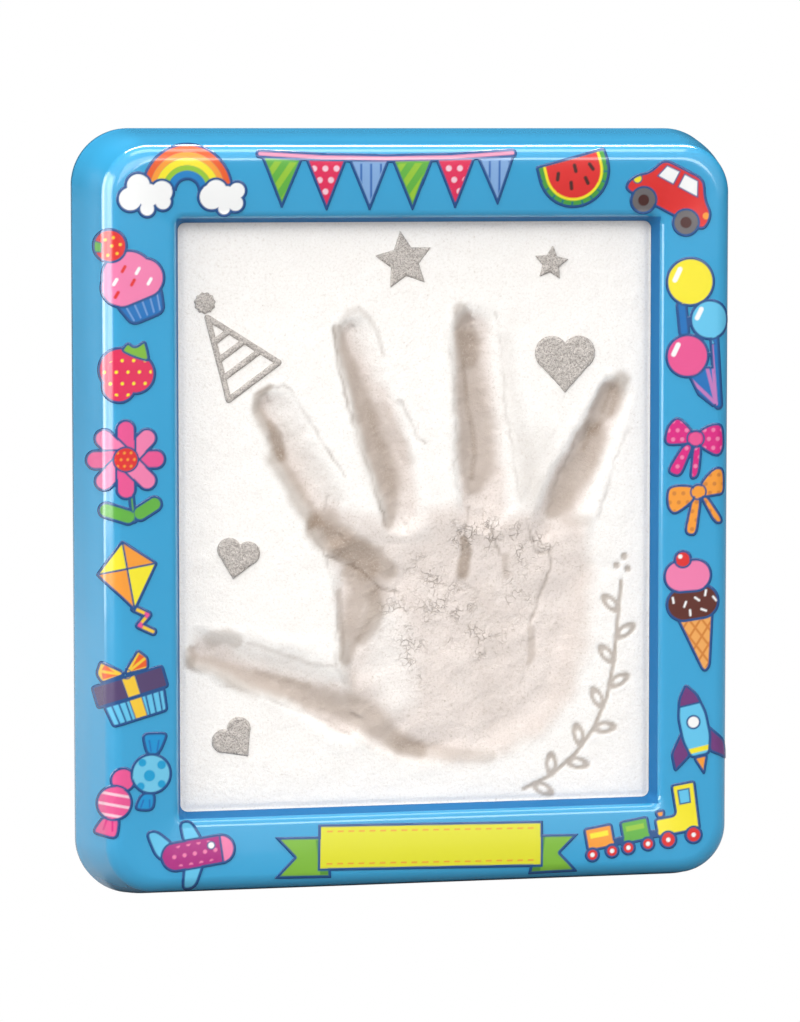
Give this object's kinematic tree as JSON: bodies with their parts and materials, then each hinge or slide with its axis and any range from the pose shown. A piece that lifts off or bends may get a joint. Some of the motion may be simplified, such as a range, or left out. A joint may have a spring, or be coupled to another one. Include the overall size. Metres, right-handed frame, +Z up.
{
  "type": "handprint photo frame",
  "caption": "Free-standing deep frame with a pressed-clay hand print, printed stickers, a screwed-in rear ring, a cover held by turn buttons and a fold-out leg.",
  "frame": {"origin": "under the middle of the frame's box, on the surface that it stands on", "axes": "+Z up, +Y from the clay towards the back cover, +X to the right seen from the front"},
  "size_m": [0.1874, 0.0332, 0.216],
  "materials": {
    "blue_shell": "glossy moulded",
    "blue_ring": "satin moulded",
    "white_plastic": "satin moulded",
    "cover_plastic": "fine grained",
    "clay": "dry and matt, finely pitted",
    "steel": "zinc plated",
    "sticker_print": "printed vinyl film",
    "glitter_card": "silver glitter"
  },
  "bodies": {
    "frame": {"front_shell": "blue_shell", "rear_ring": "blue_ring", "ring_screws": "steel", "clay_tray": "white_plastic", "clay_slab": "clay", "back_cover": "cover_plastic", "leg_hinge_pin": "steel", "button_screws": "steel", "sawtooth_hanger": "steel", "hanger_screws": "steel", "sticker_rainbow": "sticker_print", "sticker_bunting": "sticker_print", "sticker_melon": "sticker_print", "sticker_car": "sticker_print", "sticker_balloons": "sticker_print", "sticker_bow_dotted": "sticker_print", "sticker_bow_plain": "sticker_print", "sticker_ice_cream": "sticker_print", "sticker_rocket": "sticker_print", "sticker_train": "sticker_print", "sticker_banner": "sticker_print", "sticker_plane": "sticker_print", "sticker_sweets": "sticker_print", "sticker_gift": "sticker_print", "sticker_kite": "sticker_print", "sticker_daisy": "sticker_print", "sticker_strawberry": "sticker_print", "sticker_cupcake": "sticker_print", "glitter_star_large": "glitter_card", "glitter_star_small": "glitter_card", "glitter_heart_right": "glitter_card", "glitter_heart_left": "glitter_card", "glitter_heart_low": "glitter_card", "glitter_pompom": "glitter_card", "glitter_hat": "glitter_card"},
    "easel_leg": {"easel_leg": "cover_plastic"},
    "button_low_left": {"turn_button_1": "steel"},
    "button_low_right": {"turn_button_2": "steel"},
    "button_high_left": {"turn_button_3": "steel"},
    "button_high_right": {"turn_button_4": "steel"}
  },
  "joints": [
    {"name": "leg_fold", "type": "hinge", "parent": "frame", "child": "easel_leg", "pos_m": [0, 0.01402, 0.148], "axis": [1, 0, 0], "range_deg": [0, 27]},
    {"name": "button_low_left_turn", "type": "hinge", "parent": "frame", "child": "button_low_left", "pos_m": [-0.0845, 0.01482, 0.054], "axis": [0, 1, 0], "range_deg": [-90, 90]},
    {"name": "button_low_right_turn", "type": "hinge", "parent": "frame", "child": "button_low_right", "pos_m": [0.0845, 0.01482, 0.054], "axis": [0, 1, 0], "range_deg": [-90, 90]},
    {"name": "button_high_left_turn", "type": "hinge", "parent": "frame", "child": "button_high_left", "pos_m": [-0.0845, 0.01482, 0.162], "axis": [0, 1, 0], "range_deg": [-90, 90]},
    {"name": "button_high_right_turn", "type": "hinge", "parent": "frame", "child": "button_high_right", "pos_m": [0.0845, 0.01482, 0.162], "axis": [0, 1, 0], "range_deg": [-90, 90]}
  ]
}
